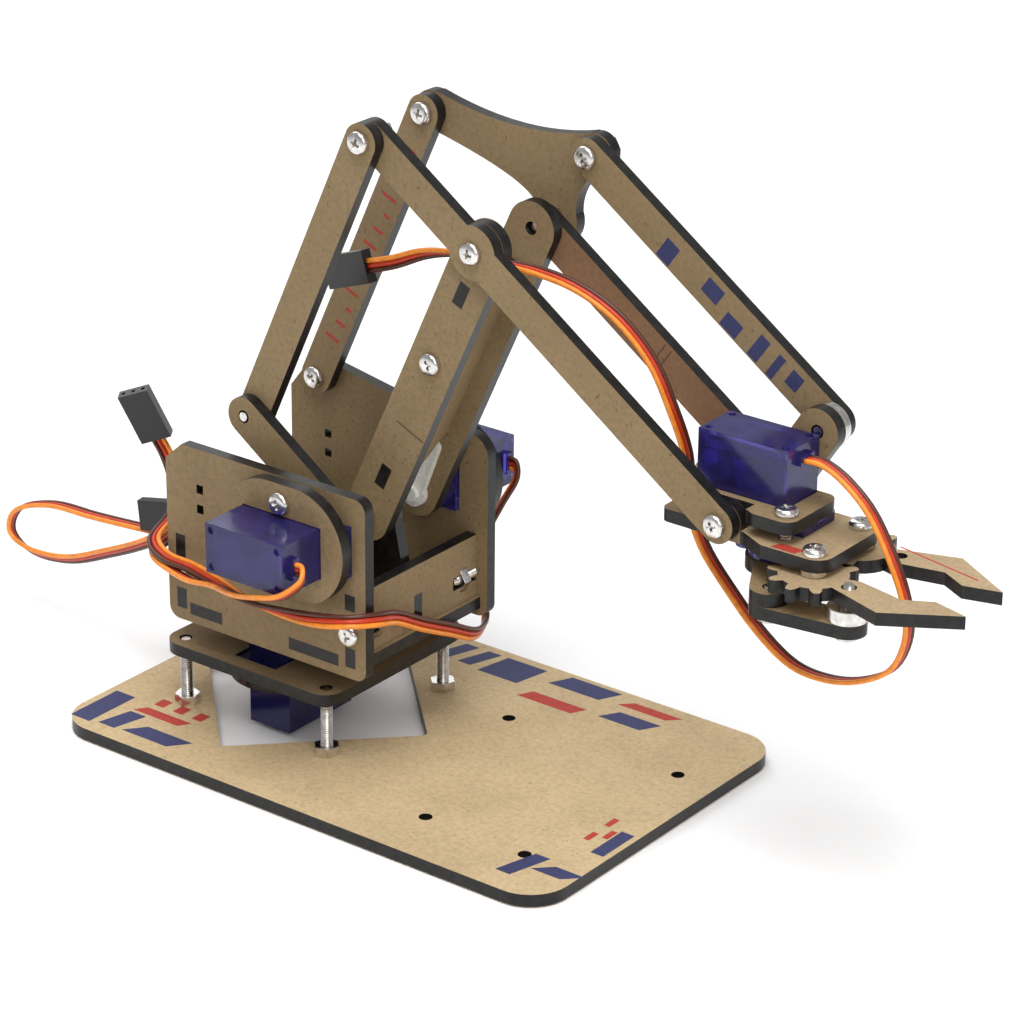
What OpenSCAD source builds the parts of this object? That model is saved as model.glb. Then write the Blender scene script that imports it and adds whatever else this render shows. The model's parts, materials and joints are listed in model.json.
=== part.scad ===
// Desktop robot arm of laser-cut sheet: a turntable carries two side servos, and parallelogram
// links keep the hand level while the upper arm and the forearm move.
// Frame: +Z up, +X from the turntable towards the claw, +Y away from the elbow servo.
// The origin is the foot of the turntable's axis, at the underside of the base plate.

/* [Sheet and fasteners] */
// Thickness of the sheet that every plate and link is cut from
sheet = 3; // [2.8:0.1:3.2]
// Radius of a screw's shank
shank_r = 1.5; // [1.4:0.05:1.5]
// Radius of a hole that a screw passes through
hole_r = 1.6; // [1.6:0.05:1.8]
// Radius of a pan head
head_r = 2.7; // [2.5:0.1:3]
// Height of a pan head
head_h = 1.8; // [1.5:0.1:2.2]

/* [Base] */
// Length of the base plate
base_l = 144; // [130:1:160]
// Width of the base plate
base_w = 95; // [90:1:110]
// Distance from the turntable's axis to the plate's rear end
base_rear = 41; // [36:1:46]
// Half diagonal of the square window under the base servo
window_half = 34.5; // [30:0.5:36]
// Distance of each standoff bolt from both centre lines
bolt_off = 21.75; // [20:0.25:23]
// Underside of the servo plate that stands on the bolts
servo_plate_z = 17; // [16.5:0.5:18]

/* [Arm] */
// Height of the shoulder axis
shoulder_z = 58; // [56:0.5:60]
// Shoulder axis, ahead of the turntable's axis
shoulder_x = 21; // [20:0.5:22]
// Upper arm, between its two pivots
upper_arm = 79; // [76:0.5:82]
// Forearm, from the elbow to the wrist
forearm = 80.5; // [78:0.5:84]
// Forearm tail, from the elbow to the push link
tail = 35; // [32:0.5:38]
// Upper arm's angle above the horizontal
upper_angle = 65.5; // [60:0.5:70]
// Forearm's angle below the horizontal
fore_angle = 35.2; // [30:0.1:40]
// Half width of the two upper arm plates
arm_r = 6.3; // [6:0.1:6.6]
// Half width of the links and forearm beams
link_r = 4.3; // [4:0.1:4.6]

/* [Claw] */
// Jaw pivots, ahead of the wrist
jaw_reach = 23; // [22.5:0.5:23.5]
// Pitch radius of the jaws' gear sectors
gear_r = 9; // [8.5:0.5:9.5]
// Gap between the sheet of the jaws and the hand plate above them
jaw_drop = 1.5; // [1.2:0.1:1.8]

/* [Hidden] */
FN = 48;
fit = 0.05;
edge_r = 5;
nut_r = 3.05;
nut_h = 2.4;

// Pivots of the linkage, as [x, z] in the upright plane of the links
function polar(d, a) = [d * cos(a), d * sin(a)];
S = [shoulder_x, shoulder_z];
E = S + polar(upper_arm, upper_angle);
W = E + polar(forearm, -fore_angle);
T = E - polar(tail, -fore_angle);
C = T - (E - S);
anchor_off = [-35, 18.5];
guide_off = [11, 17.4];
A1 = S + anchor_off;
A2 = E + anchor_off;
P = E + guide_off;
G = W + guide_off;

// Layers across the arm: the Y of each piece's lower face
y_near_plate = -24;
y_far_plate = 21;
y_crank = -15.4;
y_push = -12.2;
y_near_beam = -9;
y_near_arm = -5.8;
y_centre = -2.6;
y_far_arm = 12.4;
y_far_beam = 15.5;
y_links = 17.8;
y_piece_y = 21;
y_near_ear = -5.7;
y_far_ear = 12.3;

// Hand: its plate's top face, the claw's middle plane and the servo's shaft
hand_top = W[1] - 1.4;
hand_z = hand_top - sheet;
claw_y = 3.2;
hand_shaft = [W[0] + 6, 5.6];
jaw_top = hand_z - jaw_drop;
near_pivot = [W[0] + jaw_reach, claw_y - gear_r];
far_pivot = [W[0] + jaw_reach, claw_y + gear_r];
crank_z = hand_top - 11.6;
link_z = crank_z - sheet - 0.1;
crank_pin = [W[0] + 14.5, -9.5];
link_pin = [W[0] + 32.5, -7];

// Servo, measured from its lid: ears, body, tower and spline
servo_l = 22.8;
servo_w = 12.2;
servo_body = 22.7;
ear_low = 15.9;
ear_h = 2.5;
ear_span = 32.2;
tower_r = 5.9;
tower_top = 26.7;
spline_r = 2.4;
spline_top = 29.9;
hub_r = 3.5;
horn_low = 30;
horn_top = 31.5;
shaft_in = 6;
lid_h = 4.2;
gland = 1.2;
wall = 1.2;

// ---------- shared shapes ----------

// A plate cut in the upright X-Z plane, its faces at y and y + t
module upright(y, t = sheet) {
    translate([0, y + t, 0]) rotate([90, 0, 0]) linear_extrude(t) children();
}

module dot(p, r, n = FN) { translate(p) circle(r, $fn = n); }

// A bar with round ends between two points
module bar(p, q, r) {
    d = q - p;
    dot(p, r);
    dot(q, r);
    translate(p) rotate(atan2(d[1], d[0])) translate([0, -r]) square([norm(d), 2 * r]);
}

// Points of an arc, for an outline
function arc(c, r, a0, a1, n = 8) =
    [for (i = [0:n]) c + polar(r, a0 + (a1 - a0) * i / n)];

// A rectangle from lo to hi with corners of radius r
module round_rect(lo, hi, r) {
    translate([lo[0] + r, lo[1]]) square([hi[0] - lo[0] - 2 * r, hi[1] - lo[1]]);
    translate([lo[0], lo[1] + r]) square([hi[0] - lo[0], hi[1] - lo[1] - 2 * r]);
    for (x = [lo[0] + r, hi[0] - r], y = [lo[1] + r, hi[1] - r]) dot([x, y], r);
}

module slot(c, w, h) { translate([c[0] - w / 2, c[1] - h / 2]) square([w, h]); }

// Screw whose head's top faces -Z of its own frame: head below 0, shank above
module pan_screw(length) {
    translate([0, 0, -head_h]) {
        cylinder(r1 = head_r - 0.7, r2 = head_r, h = 0.8, $fn = FN);
        translate([0, 0, 0.8]) cylinder(r = head_r, h = head_h - 0.8, $fn = FN);
    }
    cylinder(r = shank_r, h = length, $fn = FN);
}

module nut() {
    difference() {
        cylinder(r = nut_r * 1.04, h = nut_h, $fn = 6);
        translate([0, 0, -1]) cylinder(r = shank_r + 0.05, h = nut_h + 2, $fn = FN);
    }
}

// Screw across the arm at p, its head's underside at y, pointing to +Y
module cross_screw(p, y, length) {
    translate([p[0], y, p[1]]) rotate([-90, 0, 0]) pan_screw(length);
}

// The same screw pointing to -Y
module far_screw(p, y, length) {
    translate([p[0], y, p[1]]) rotate([90, 0, 0]) pan_screw(length);
}

// Screw pointing down, its head's underside at z
module down_screw(p, z, length) {
    translate([p[0], p[1], z]) rotate([180, 0, 0]) pan_screw(length);
}

module cross_nut(p, y) { translate([p[0], y, p[1]]) rotate([-90, 0, 0]) nut(); }

module ring(r, h) {
    difference() {
        cylinder(r = r, h = h, $fn = FN);
        translate([0, 0, -1]) cylinder(r = shank_r + fit, h = h + 2, $fn = FN);
    }
}

// ---------- servo pieces, lid at Z = 0, shaft on the Z axis, long side along -X ----------

module servo_block(inset, z0, z1) {
    translate([shaft_in - servo_l + inset, -servo_w / 2 + inset, z0])
        cube([servo_l - 2 * inset, servo_w - 2 * inset, z1 - z0]);
}

module servo_case() {
    ear_mid = shaft_in - servo_l / 2;
    color("mediumblue") difference() {
        union() {
            servo_block(0, lid_h, servo_body);
            translate([ear_mid - ear_span / 2, -servo_w / 2, ear_low])
                cube([ear_span, servo_w, ear_h]);
            translate([0, 0, servo_body]) cylinder(r = tower_r, h = tower_top - servo_body, $fn = FN);
            translate([-7, 0, servo_body])
                cylinder(r = 2.8, h = tower_top - servo_body, $fn = FN);
        }
        servo_block(wall, lid_h - 1, servo_body - 4.6);
        cylinder(r = spline_r + 0.1, h = spline_top, $fn = FN);
        for (s = [-1, 1]) translate([ear_mid + s * 13.9, 0, ear_low - 1])
            cylinder(r = 1, h = ear_h + 2, $fn = FN);
    }
}

module servo_lid() {
    color("mediumblue") difference() {
        union() {
            servo_block(0, 0, lid_h);
            translate([shaft_in - 0.5, -2.6, lid_h - 2]) cube([0.5 + gland, 5.2, 2]);
        }
        servo_block(wall, wall, lid_h + 1);
        for (x = [shaft_in - servo_l + 1.6, shaft_in - 1.6], y = [-4.5, 4.5])
            translate([x, y, -0.1]) cylinder(r = 0.9, h = 0.7, $fn = FN);
    }
}

// Motor and circuit board, two separate solids
module servo_inside() {
    color("silver") translate([shaft_in - servo_l + 7.2, 0, 5.2]) {
        cylinder(r = 4.8, h = 11.4, $fn = FN);
        translate([0, 0, -0.9]) cylinder(r = 1.5, h = 0.9, $fn = FN);
    }
    color("darkgreen") {
        translate([shaft_in - servo_l + 1.6, -4.4, 1.5]) cube([18.6, 8.8, 1]);
        translate([-2.2, -4.4, 2.5]) cube([6, 8.8, 6]);
    }
}

// Output shaft with the screw that holds the horn on it
module servo_shaft() {
    color("white") difference() {
        translate([0, 0, servo_body - 3])
            cylinder(r = spline_r, h = spline_top - servo_body + 3, $fn = FN);
        translate([0, 0, spline_top - 3]) cylinder(r = 1 + fit, h = 4, $fn = FN);
    }
    color("silver") {
        translate([0, 0, horn_top + 0.02]) cylinder(r = 1.9, h = 1, $fn = FN);
        translate([0, 0, spline_top - 2.5])
            cylinder(r = 1, h = horn_top - spline_top + 2.6, $fn = FN);
    }
}

// Horn: a hub on the spline, through the driven plate, and tapered arms on the plate's face
module horn(reach, angles) {
    color("white") difference() {
        union() {
            translate([0, 0, horn_low - sheet])
                cylinder(r = hub_r, h = horn_top - horn_low + sheet, $fn = FN);
            for (a = angles) translate([0, 0, horn_low]) linear_extrude(horn_top - horn_low) rotate(a) {
                polygon([[0, -2.6], [reach, -1.8], [reach, 1.8], [0, 2.6]]);
                dot([reach, 0], 1.8);
            }
        }
        translate([0, 0, horn_low - sheet - 1])
            cylinder(r = spline_r + fit, h = spline_top - horn_low + sheet + 1, $fn = FN);
        cylinder(r = 1 + fit, h = horn_top + 1, $fn = FN);
    }
}

// The places of the four servos
module at_near() { translate([S[0], -42.4, S[1]]) rotate([-90, 0, 0]) children(); }
module at_far() { translate([S[0], 42.4, S[1]]) rotate([90, 0, 0]) children(); }

module at_hand() {
    translate([hand_shaft[0], hand_shaft[1], hand_top + ear_low + ear_h]) rotate([180, 0, 0]) children();
}
module at_base() { translate([0, 0, servo_plate_z - ear_low]) rotate([0, 0, 90]) children(); }

// ---------- base ----------

module base_plate() {
    color("burlywood") difference() {
        linear_extrude(sheet) difference() {
            round_rect([-base_rear, -base_w / 2], [base_l - base_rear, base_w / 2], 10);
            rotate(45) round_rect([-1, -1] * window_half / sqrt(2), [1, 1] * window_half / sqrt(2), 1.5);
            for (p = [[44, 19], [92.2, 20.2], [87.2, -31.8], [59.2, -31.8]]) dot(p, hole_r);
            for (x = [-1, 1], y = [-1, 1]) dot([x, y] * bolt_off, hole_r);
        }
        for (x = [-1, 1], y = [-1, 1]) translate([x * bolt_off, y * bolt_off, -0.01])
            cylinder(r1 = head_r + 0.2, r2 = shank_r + 0.1, h = 1.7, $fn = FN);
    }
}

module standoff_bolts() {
    color("silver") for (x = [-1, 1], y = [-1, 1]) translate([x * bolt_off, y * bolt_off, 0]) {
        cylinder(r1 = head_r + 0.1, r2 = shank_r, h = 1.6, $fn = FN);
        cylinder(r = shank_r, h = servo_plate_z + sheet - 0.3, $fn = FN);
    }
}

module standoff_nuts() {
    color("silver") for (x = [-1, 1], y = [-1, 1]) translate([x * bolt_off, y * bolt_off, sheet])
        rotate(15 * x) nut();
}

module servo_plate() {
    color("burlywood") translate([0, 0, servo_plate_z]) linear_extrude(sheet) difference() {
        round_rect([-26, -26], [26, 26], edge_r);
        for (x = [-1, 1], y = [-1, 1]) dot([x, y] * bolt_off, shank_r + 0.05);
        slot([0, shaft_in - servo_l / 2], servo_w + 0.6, ear_span + 0.6);
    }
}

module base_collar() {
    color("saddlebrown") translate([0, shaft_in - servo_l / 2, servo_plate_z - sheet]) {
        linear_extrude(sheet) difference() {
            bar([0, -5], [0, 5], 13.5);
            slot([0, 0], servo_w + 0.4, servo_l + 0.4);
        }
    }
}

module base_servo_case() { at_base() servo_case(); }
module base_servo_lid() { at_base() servo_lid(); }
module base_servo_inside() { at_base() servo_inside(); }
module yaw_shaft() { at_base() servo_shaft(); }
module yaw_horn() { at_base() horn(14, [0, 180]); }

// ---------- turntable ----------

turn_z = servo_plate_z - ear_low + horn_low - sheet;
side_lo = -24.5;
side_hi = 35.6;
side_bottom = 26;
near_top = 71;
inner_near = y_near_plate + sheet;
tab_z = turn_z + sheet / 2;
front_x = 31;
rear_x = -20.5;
servo_mid = S[0] + shaft_in - servo_l / 2;
collar_holes = [S + [servo_mid - S[0], 9.5], S + [servo_mid - S[0], -9.5]];
// Tabs of the cross plates, as [height, size], and the screw between them
front_tabs = [[45, 4], [31.2, 5]];
rear_tabs = [[45, 6], [31.6, 5.2]];
screw_front = 37;
screw_rear = 39.6;
// Tabs of the turntable plate, as [x, size]
turn_tabs = [[-13, 10], [20, 15]];
centre_tab = [18, 7];
centre_hold = [36, 7];

// Slots, holes and the servo's window that both side plates share
module side_cuts() {
    slot([servo_mid, S[1]], servo_l + 0.4, servo_w + 0.4);
    for (p = collar_holes) dot(p, shank_r + fit);
    for (t = turn_tabs) slot([t[0], tab_z], t[1], sheet);
    for (t = front_tabs) slot([front_x, t[0]], sheet, t[1]);
    for (t = rear_tabs) slot([rear_x, t[0]], sheet, t[1]);
    dot([front_x, screw_front], shank_r + fit);
    dot([rear_x, screw_rear], shank_r + fit);
}

module near_side_plate() {
    color("burlywood") upright(y_near_plate) difference() {
        polygon(concat(
            arc([side_lo + 3, side_bottom + 3], 3, 180, 270),
            arc([side_hi - 3, side_bottom + 3], 3, 270, 360),
            arc([side_hi - 3, near_top - 3], 3, 0, 90),
            [[side_lo + 5, near_top], [side_lo, near_top - 4.5]]));
        side_cuts();
        for (z = [56, 61]) slot([-14, z], 2, 2.2);
    }
}

module far_side_plate() {
    color("burlywood") upright(y_far_plate) difference() {
        polygon(concat(
            arc([side_lo + 3, side_bottom + 3], 3, 180, 270),
            arc([side_hi - 3, side_bottom + 3], 3, 270, 360),
            arc([side_hi - 5, near_top - 4], 5, 0, 80),
            arc(A1 + [-1, -1.5], 5, 80, 140),
            [[side_lo, near_top]]));
        side_cuts();
        for (z = [56, 61]) slot([-13, z], 2, 2);
        dot(A1, shank_r + fit);
    }
}

module turntable_plate() {
    color("burlywood") translate([0, 0, turn_z]) linear_extrude(sheet) difference() {
        union() {
            translate([side_lo + 2, inner_near])
                square([side_hi - side_lo - 4, y_far_plate - inner_near]);
            for (t = turn_tabs, y = [y_near_plate, y_far_plate])
                translate([t[0] - t[1] / 2, y]) square([t[1], sheet]);
        }
        dot([0, 0], hub_r + fit);
        translate([centre_tab[0] - centre_tab[1] / 2, y_centre]) square([centre_tab[1], sheet]);
    }
}

// Cross plate in the Y-Z plane at x, with tabs at both ends and slots for its nuts
module cross_plate(x, top, tabs, screw_z) {
    translate([x - sheet / 2, 0, 0]) rotate([90, 0, 90]) linear_extrude(sheet) difference() {
        union() {
            translate([inner_near, turn_z + sheet])
                square([y_far_plate - inner_near, top - turn_z - sheet]);
            for (t = tabs, y = [y_near_plate, y_far_plate])
                translate([y, t[0] - t[1] / 2]) square([sheet, t[1]]);
        }
        for (s = [inner_near, y_far_plate - 9])
            translate([s, screw_z - shank_r - 0.1]) square([9, 2 * shank_r + 0.2]);
        for (y = [inner_near + 4, y_far_plate - 4 - nut_h])
            slot([y + nut_h / 2, screw_z], nut_h + 0.02, 5.8);
    }
}

module front_plate() {
    color("burlywood") difference() {
        cross_plate(front_x, 47, front_tabs, screw_front);
        translate([front_x - sheet, y_centre, centre_hold[0] - centre_hold[1] / 2])
            cube([2 * sheet, sheet, centre_hold[1]]);
    }
}

module rear_plate() { color("burlywood") cross_plate(rear_x, 49, rear_tabs, screw_rear); }

module centre_plate() {
    low = turn_z + sheet;
    color("dimgray") upright(y_centre) difference() {
        union() {
            polygon([[9, low], [front_x - sheet / 2, low], [front_x - sheet / 2, 43],
                     S + [5.6, -1], S + [-5.6, -1], [9, 42]]);
            dot(S, 5.7);
            translate([centre_tab[0] - centre_tab[1] / 2, turn_z]) square([centre_tab[1], sheet + 1]);
            translate([front_x - sheet / 2 - 1, centre_hold[0] - centre_hold[1] / 2])
                square([sheet + 1, centre_hold[1]]);
        }
        dot(S, shank_r + fit);
    }
}

// Frame screws with their captive nuts, collar screws, shoulder pivot and anchor screw
module frame_screws() {
    near = y_near_plate - ear_h - sheet;
    far = y_far_plate + 2 * sheet + ear_h;
    color("silver") {
        for (p = [[front_x, screw_front], [rear_x, screw_rear]]) {
            cross_screw(p, y_near_plate, 11);
            cross_nut(p, inner_near + 4);
            far_screw(p, y_far_plate + sheet, 11);
            cross_nut(p, y_far_plate - 4 - nut_h);
        }
        for (p = collar_holes) {
            cross_screw(p, near, 9);
            far_screw(p, far, 9);
        }
        cross_screw(S, y_near_arm - 0.1, 9);
        cross_nut(S, y_centre + sheet + 0.02);
        cross_screw(A1, y_links - 0.1, 9);
        cross_nut(A1, y_far_plate + sheet + 0.02);
    }
}

module side_collars() {
    color("saddlebrown") for (y = [y_near_plate - ear_h - sheet, y_far_plate + sheet + ear_h])
        upright(y) difference() {
            bar([servo_mid - 4, S[1]], [servo_mid + 4, S[1]], 14);
            slot([servo_mid, S[1]], servo_l + 0.4, servo_w + 0.4);
            for (p = collar_holes) dot(p, shank_r + fit);
        }
}

module near_servo_case() { at_near() servo_case(); }
module far_servo_case() { at_far() servo_case(); }

module side_servo_lids() {
    at_near() servo_lid();
    at_far() servo_lid();
}

module side_servo_insides() {
    at_near() servo_inside();
    at_far() servo_inside();
}

// ---------- upper arm, crank and links ----------

module along_arm() { translate(S) rotate(upper_angle) children(); }

brace_tabs_near = [12, 66];
brace_tabs_far = [24, 66];
brace_screw = 46;
tab_l = 6;

module near_arm_plate() {
    color("burlywood") upright(y_near_arm) difference() {
        bar(S, E, arm_r);
        dot(S, shank_r + fit);
        dot(E, shank_r + fit);
        along_arm() {
            for (s = brace_tabs_near) slot([s, 0], tab_l, sheet);
            dot([brace_screw, 0], shank_r + fit);
        }
    }
}

module far_arm_plate() {
    color("burlywood") upright(y_far_arm) difference() {
        bar(S, E, arm_r);
        dot(S, hub_r + fit);
        dot(E, shank_r + fit);
        along_arm() for (s = brace_tabs_far) slot([s, 0], tab_l, sheet);
    }
}

module arm_brace() {
    near = y_near_arm + sheet;
    far = y_far_arm;
    color("burlywood") translate([S[0], 0, S[1]]) rotate([0, -upper_angle, 0])
        translate([0, 0, -sheet / 2]) linear_extrude(sheet) difference() {
            union() {
                polygon([[8, near], [69.5, near], [69.5, far], [20, far], [17, far - 2.5], [8, 5]]);
                for (s = brace_tabs_near) translate([s - tab_l / 2, near - sheet]) square([tab_l, sheet]);
                for (s = brace_tabs_far) translate([s - tab_l / 2, far]) square([tab_l, sheet]);
            }
            translate([brace_screw - shank_r - 0.1, near]) square([2 * shank_r + 0.2, 8]);
            slot([brace_screw, near + 4 + nut_h / 2], 5.8, nut_h + 0.02);
            for (s = [27.5, 60]) slot([s, near + 1.6], tab_l, 2.4);
        }
}

module arm_screws() {
    p = S + polar(brace_screw, upper_angle);
    color("silver") {
        cross_screw(p, y_near_arm, 10);
        translate([p[0], y_near_arm + sheet + 4, p[1]])
            rotate([0, -upper_angle, 0]) rotate([-90, 30, 0]) nut();
        far_screw(E, y_piece_y + sheet + 0.1, 10.2);
        cross_nut(E, y_piece_y - nut_h - 0.05);
    }
}

module shoulder_shaft() { at_far() servo_shaft(); }
module shoulder_horn() { at_far() horn(14, [upper_angle]); }
module elbow_shaft() { at_near() servo_shaft(); }
module elbow_horn() { at_near() horn(14, [-atan2(C[1] - S[1], C[0] - S[0])]); }

module elbow_crank() {
    color("burlywood") upright(y_crank) difference() {
        union() {
            bar(S, C, link_r + 0.4);
            dot(S, 6.3);
        }
        dot(S, hub_r + fit);
        dot(C, shank_r + fit);
    }
}

// Screw at the crank's end, its head on the push link's far face
module crank_screw() { color("silver") far_screw(C, y_push + sheet + 0.1, 6.5); }

// A link across the arm between two pivots, with a bore at each end
module link(p, q, y, bore) {
    color("burlywood") upright(y) difference() {
        bar(p, q, link_r);
        dot(p, bore);
        dot(q, bore);
    }
}

module push_link() { link(C, T, y_push, shank_r + fit); }
module anchor_link() { link(A1, A2, y_links, shank_r + fit); }
module gripper_link() { link(P, G, y_links, shank_r + fit); }
module far_beam() { link(E, W, y_far_beam, shank_r + fit); }

module near_beam() {
    color("burlywood") upright(y_near_beam) difference() {
        union() {
            bar(T, W, link_r);
            dot(E, arm_r);
        }
        for (p = [T, E, W]) dot(p, shank_r + fit);
    }
}

// Points of a curve from a to b that bends towards c
function bend(a, c, b, n = 12) =
    [for (i = [0:n]) let (t = i / n) a * (1 - t) * (1 - t) + c * 2 * t * (1 - t) + b * t * t];

module y_piece() {
    r = link_r + 0.3;
    color("burlywood") upright(y_piece_y) difference() {
        union() {
            polygon(concat(
                bend(E + [6, 1], P + [-6, -9], P + [2, -3]),
                bend(P + [-1, r], (A2 + P) / 2 + [2, -1.5], A2 + [1.5, r]),
                bend(A2 + [0, -r], E + [-9, 8], E + [-5.5, 3])));
            for (p = [A2, P]) dot(p, r);
            dot(E, arm_r);
        }
        for (p = [A2, P, E]) dot(p, shank_r + fit);
    }
}

// Pivot screws at the push link, the near elbow, the guide link and the anchor link
module forearm_screws() {
    color("silver") {
        cross_screw(T, y_push - 0.1, 9);
        cross_nut(T, y_near_beam + sheet + 0.02);
        cross_screw(E, y_near_beam, 9.4);
        cross_nut(E, y_near_arm + sheet + 0.1);
    }
}

// Guide screws at the upper ends of the Y piece
module y_screws() {
    color("silver") for (p = [A2, P]) {
        cross_screw(p, y_links - 0.1, 9);
        cross_nut(p, y_piece_y + sheet + 0.02);
    }
}

// ---------- hand ----------

clamp_z = hand_top + ear_h;
hand_mid = [hand_shaft[0] + shaft_in - servo_l / 2, hand_shaft[1]];
clamp_hole = [W[0] + 13.7, -2.8];
ear_hole = [hand_mid[0] - 13.9, hand_mid[1]];

module hand_cuts() {
    slot(hand_mid, servo_l + 0.4, servo_w + 0.4);
    dot(clamp_hole, shank_r + fit);
    dot(ear_hole, 1);
}

module hand_plate() {
    color("burlywood") translate([W[0], 0, hand_z]) linear_extrude(sheet) difference() {
        polygon(concat(
            arc([-14.5, y_near_ear + 2], 2, 180, 270),
            [[5, y_near_ear], [11.5, -9]],
            arc([23, -5], 4, 270, 360),
            arc([23, 11.4], 4, 0, 90),
            arc([-12.5, 11.4], 4, 90, 180)));
        translate([-4.2, y_near_ear - 1]) square([8.4, sheet + 1]);
        translate([-4, y_far_ear]) square([8, sheet + 1]);
        translate([-W[0], 0]) {
            hand_cuts();
            for (p = [near_pivot, far_pivot]) dot(p, shank_r + fit);
        }
    }
}

module clamp_plate() {
    near = y_near_ear + sheet + 0.2;
    color("burlywood") translate([W[0], 0, clamp_z]) linear_extrude(sheet) difference() {
        polygon(concat(
            [[-15.5, near], [5.5, near], [5.5, -6]],
            arc([8.5, -4], 3, 225, 270),
            arc([14.5, -4], 3, 270, 360),
            arc([14.5, 9.2], 3, 0, 90),
            arc([-12.5, 9.2], 3, 90, 180)));
        translate([-W[0], 0]) hand_cuts();
    }
}

module near_ear() {
    color("burlywood") upright(y_near_ear) difference() {
        union() {
            dot(W, 4.2);
            translate([W[0] - 4.2, hand_z]) square([8.4, W[1] - hand_z]);
        }
        dot(W, shank_r + fit);
    }
}

module far_ear() {
    color("burlywood") upright(y_far_ear) difference() {
        union() {
            difference() {
                union() {
                    bar(W, G, 5.2);
                    dot(W, 6);
                }
                translate([W[0] - 10, hand_top - 10]) square([20, 10]);
            }
            translate([W[0] - 4, hand_z]) square([8, sheet + 1]);
        }
        for (p = [W, G]) dot(p, shank_r + fit);
    }
}

// Jaw pivots with spacers and nuts, clamp screws, wrist pivots and the guide link's pivot
module hand_screws() {
    color("silver") {
        for (p = [near_pivot, far_pivot]) {
            down_screw(p, hand_top, 11);
            translate([p[0], p[1], jaw_top + 0.1]) ring(3, jaw_drop - 0.2);
            translate([p[0], p[1], jaw_top - sheet - nut_h - 0.1]) nut();
        }
        down_screw(clamp_hole, clamp_z + sheet, 9);
        translate([ear_hole[0], ear_hole[1], hand_z]) {
            cylinder(r = 0.95, h = clamp_z + sheet - hand_z, $fn = FN);
            translate([0, 0, clamp_z + sheet - hand_z]) cylinder(r = 2, h = 1.4, $fn = FN);
        }
        cross_screw(W, y_near_beam - 0.1, 6.4);
        far_screw(W, y_far_beam + sheet + 0.1, 6.2);
        far_screw(G, y_links + sheet + 0.1, 8.5);
        translate([G[0], y_far_ear + sheet + 0.05, G[1]]) rotate([-90, 0, 0]) ring(5.2, 2.35);
    }
}

module hand_servo_case() { at_hand() servo_case(); }
module hand_servo_lid() { at_hand() servo_lid(); }
module hand_servo_inside() { at_hand() servo_inside(); }

// ---------- claw ----------

// Finger outline from the jaw's pivot, as [ahead of the wrist, away from the middle plane]
finger = [[23, 9], [29.5, 12.5], [43.5, 17.3], [59, 7.5], [50.5, 5.2], [44.3, 8.7], [33, 6.3]];
tooth = [[-2, -1.5], [0, -1.15], [1, -0.6], [1, 0.6], [0, 1.15], [-2, 1.5]];

// Jaw with a ring of gear teeth, its finger on side s of the middle plane
module jaw(pivot, s, teeth, bore) {
    color("burlywood") translate([0, 0, jaw_top - sheet]) linear_extrude(sheet) difference() {
        union() {
            dot(pivot, gear_r - 1.4);
            for (a = teeth) translate(pivot) rotate(a) translate([gear_r, 0]) polygon(tooth);
            polygon([for (k = [0:6]) let (q = finger[s > 0 ? 6 - k : k])
                [W[0] + q[0], claw_y + s * q[1]]]);
        }
        dot(pivot, shank_r + fit);
        dot([link_pin[0], claw_y + s * (claw_y - link_pin[1])], bore);
    }
}

module near_jaw() { jaw(near_pivot, -1, [54:36:306], shank_r + 0.2); }
module far_jaw() { jaw(far_pivot, 1, [72:36:288], shank_r); }

module claw_crank() {
    color("burlywood") translate([0, 0, crank_z]) linear_extrude(sheet) difference() {
        union() {
            bar(hand_shaft, crank_pin, link_r);
            dot(hand_shaft, 6.5);
        }
        dot(hand_shaft, hub_r + fit);
        dot(crank_pin, shank_r + fit);
    }
}

// The claw servo's output shaft, its horn and the horn's screw
module claw_drive() {
    d = crank_pin - hand_shaft;
    at_hand() {
        servo_shaft();
        horn(9, [-atan2(d[1], d[0])]);
    }
}

module claw_link() {
    color("burlywood") translate([0, 0, link_z]) linear_extrude(sheet) difference() {
        bar(crank_pin, link_pin, link_r);
        for (p = [crank_pin, link_pin]) dot(p, shank_r + fit);
    }
}

// The link's two screws, heads below, and the spacer under the jaw
module link_fasteners() {
    color("silver") {
        translate([crank_pin[0], crank_pin[1], link_z]) pan_screw(6.4);
        translate([link_pin[0], link_pin[1], link_z]) pan_screw(10.9);
        translate([link_pin[0], link_pin[1], link_z + sheet + 0.1]) ring(4.5, sheet);
    }
}

// ---------- servo leads ----------

lead_w = 3.6;
lead_t = 1.2;
lead_y = 42.4 - lid_h + 1;
twist_rings = 5;
near_end = [0.2, 0.1, 1];
far_end = [-0.85, -0.45, -0.25];
hand_end = [0, 0, -1];
// Roll of each lead about its own line, as [ring, degrees]
flat = [[0, 0]];
far_roll = [[7, 0], [13, 56], [17, -105]];
section = [[0.5, 0.25], [0.36, 0.5], [-0.36, 0.5], [-0.5, 0.25],
           [-0.5, -0.25], [-0.36, -0.5], [0.36, -0.5], [0.5, -0.25]];
exit_x = S[0] + shaft_in + gland;
near_route = [
    [exit_x, -lead_y, S[1]], [29.8, -lead_y, 58], [31, -41, 56], [28, -44, 53], [20, -43, 50],
    [11, -40, 47], [1, -36, 45], [-8, -34, 43], [-16, -31, 42], [-24, -28, 42], [-29, -23, 42],
    [-31, -17, 42], [-34, -12, 41], [-40, -9, 37], [-50, -7, 31], [-62, -5, 25], [-78, -3, 18],
    [-92, -2, 16], [-100, -1, 19], [-97, -1, 26], [-84, -2, 31], [-68, -4, 33], [-55, -4, 34],
    [-44, -2, 34], [-34, 1, 34], [-26, 3, 36], [-24, 2, 40], [-28, -1, 42], [-36, -3, 41]
];
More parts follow.
